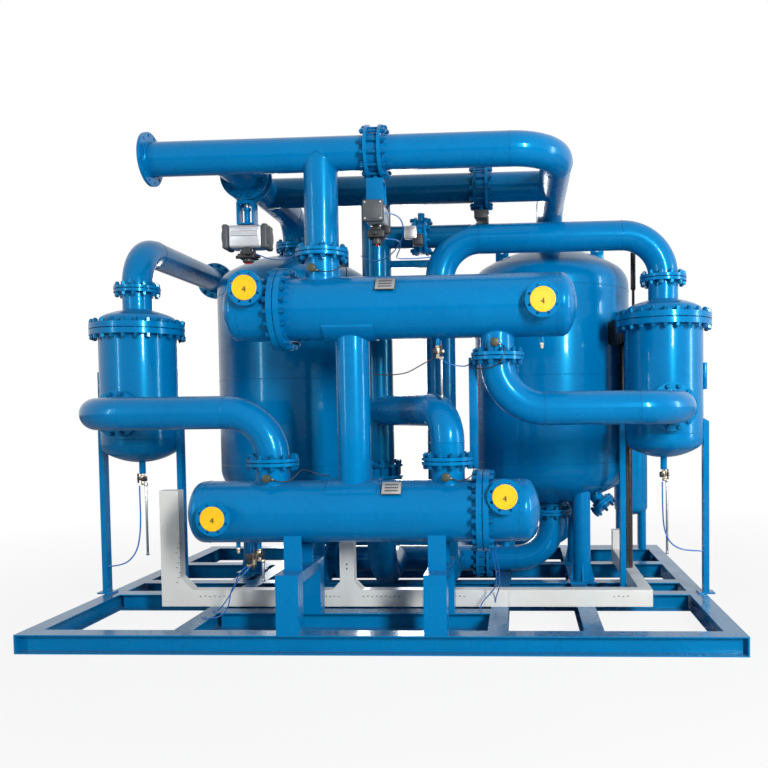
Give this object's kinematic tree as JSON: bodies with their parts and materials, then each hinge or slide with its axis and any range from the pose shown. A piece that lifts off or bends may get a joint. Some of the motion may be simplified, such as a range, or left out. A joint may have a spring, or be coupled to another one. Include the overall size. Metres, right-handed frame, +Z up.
{
  "type": "desiccant air dryer",
  "caption": "Skid-mounted twin-tower desiccant dryer with coolers, water separators, pipework and butterfly valves.",
  "frame": {"origin": "centre of the bounding box at floor level, under the skid", "axes": "+X to the right along the skid, +Y from the front with the coolers to the back, +Z up"},
  "size_m": [4.7466, 3.32, 3.355],
  "materials": {
    "blue_paint": "gloss enamel",
    "stainless_steel": "machined",
    "actuator_alloy": "anodised",
    "cap_yellow": "moulded",
    "trunking_grey": "satin",
    "hose_blue": "extruded",
    "drain_steel": "drawn",
    "conduit_black": "extruded",
    "desiccant": "beads"
  },
  "bodies": {
    "dryer": {"after_filter": "blue_paint", "cable_tray": "trunking_grey", "cooler_saddles": "blue_paint", "crossover_spool": "blue_paint", "filter_line_spool": "blue_paint", "header_left_spool": "blue_paint", "header_right_spool": "blue_paint", "header_valve_actuator": "actuator_alloy", "header_valve_body": "blue_paint", "left_desiccant_bed": "desiccant", "left_drain_hose": "hose_blue", "left_leg_spool": "blue_paint", "left_leg_valve_actuator": "actuator_alloy", "left_leg_valve_body": "blue_paint", "left_separator": "blue_paint", "left_separator_drain": "drain_steel", "left_separator_head": "blue_paint", "left_separator_inlet": "blue_paint", "left_separator_outlet": "blue_paint", "left_tank": "blue_paint", "link_pipe": "blue_paint", "lower_cooler_bonnet": "blue_paint", "lower_cooler_shell": "blue_paint", "manifold_elbow_left": "blue_paint", "manifold_elbow_right": "blue_paint", "manifold_spool": "blue_paint", "manifold_valve_left_body": "blue_paint", "manifold_valve_right_body": "blue_paint", "rear_header_spool": "blue_paint", "rear_header_valve_actuator": "actuator_alloy", "rear_header_valve_body": "blue_paint", "rear_riser_spool": "blue_paint", "right_desiccant_bed": "desiccant", "right_drain_hose": "hose_blue", "right_separator": "blue_paint", "right_separator_drain": "drain_steel", "right_separator_head": "blue_paint", "right_separator_inlet": "blue_paint", "right_separator_outlet": "blue_paint", "right_tank": "blue_paint", "riser_valve_body": "blue_paint", "separator_posts": "blue_paint", "skid_front_beam": "blue_paint", "skid_left_beam": "blue_paint", "skid_middle_rails": "blue_paint", "skid_rear_beam": "blue_paint", "skid_rear_rails": "blue_paint", "skid_right_beam": "blue_paint", "skid_stringers": "blue_paint", "tube_bundles": "stainless_steel", "upper_cooler_bonnet": "blue_paint", "upper_cooler_shell": "blue_paint", "vertical_conduit": "conduit_black", "water_caps": "cap_yellow"},
    "header_valve_rotor": {"header_valve_disc": "stainless_steel"},
    "left_leg_valve_rotor": {"left_leg_valve_disc": "stainless_steel"},
    "rear_header_valve_rotor": {"rear_header_valve_disc": "stainless_steel"},
    "riser_valve_rotor": {"riser_valve_disc": "stainless_steel"},
    "manifold_valve_left_rotor": {"manifold_valve_left_disc": "stainless_steel"},
    "manifold_valve_right_rotor": {"manifold_valve_right_disc": "stainless_steel"}
  },
  "joints": [
    {"name": "header_valve_turn", "type": "hinge", "parent": "dryer", "child": "header_valve_rotor", "pos_m": [0.022, -1.36, 3.185], "axis": [0, 0, -1], "range_deg": [0, 90]},
    {"name": "left_leg_valve_turn", "type": "hinge", "parent": "dryer", "child": "left_leg_valve_rotor", "pos_m": [-0.979, -0.92, 3.185], "axis": [0, 0, -1], "range_deg": [0, 90]},
    {"name": "rear_header_valve_turn", "type": "hinge", "parent": "dryer", "child": "rear_header_valve_rotor", "pos_m": [0.66, -0.48, 3.185], "axis": [0, 0, -1], "range_deg": [0, 90]},
    {"name": "riser_valve_turn", "type": "hinge", "parent": "dryer", "child": "riser_valve_rotor", "pos_m": [-0.139, -0.48, 1.068], "axis": [0, 1, 0], "range_deg": [0, 90]},
    {"name": "manifold_valve_left_turn", "type": "hinge", "parent": "dryer", "child": "manifold_valve_left_rotor", "pos_m": [-0.692, 0.32, 0.245], "axis": [0, 0, 1], "range_deg": [0, 90]},
    {"name": "manifold_valve_right_turn", "type": "hinge", "parent": "dryer", "child": "manifold_valve_right_rotor", "pos_m": [0.603, 0.32, 0.245], "axis": [0, 0, 1], "range_deg": [0, 90]}
  ]
}
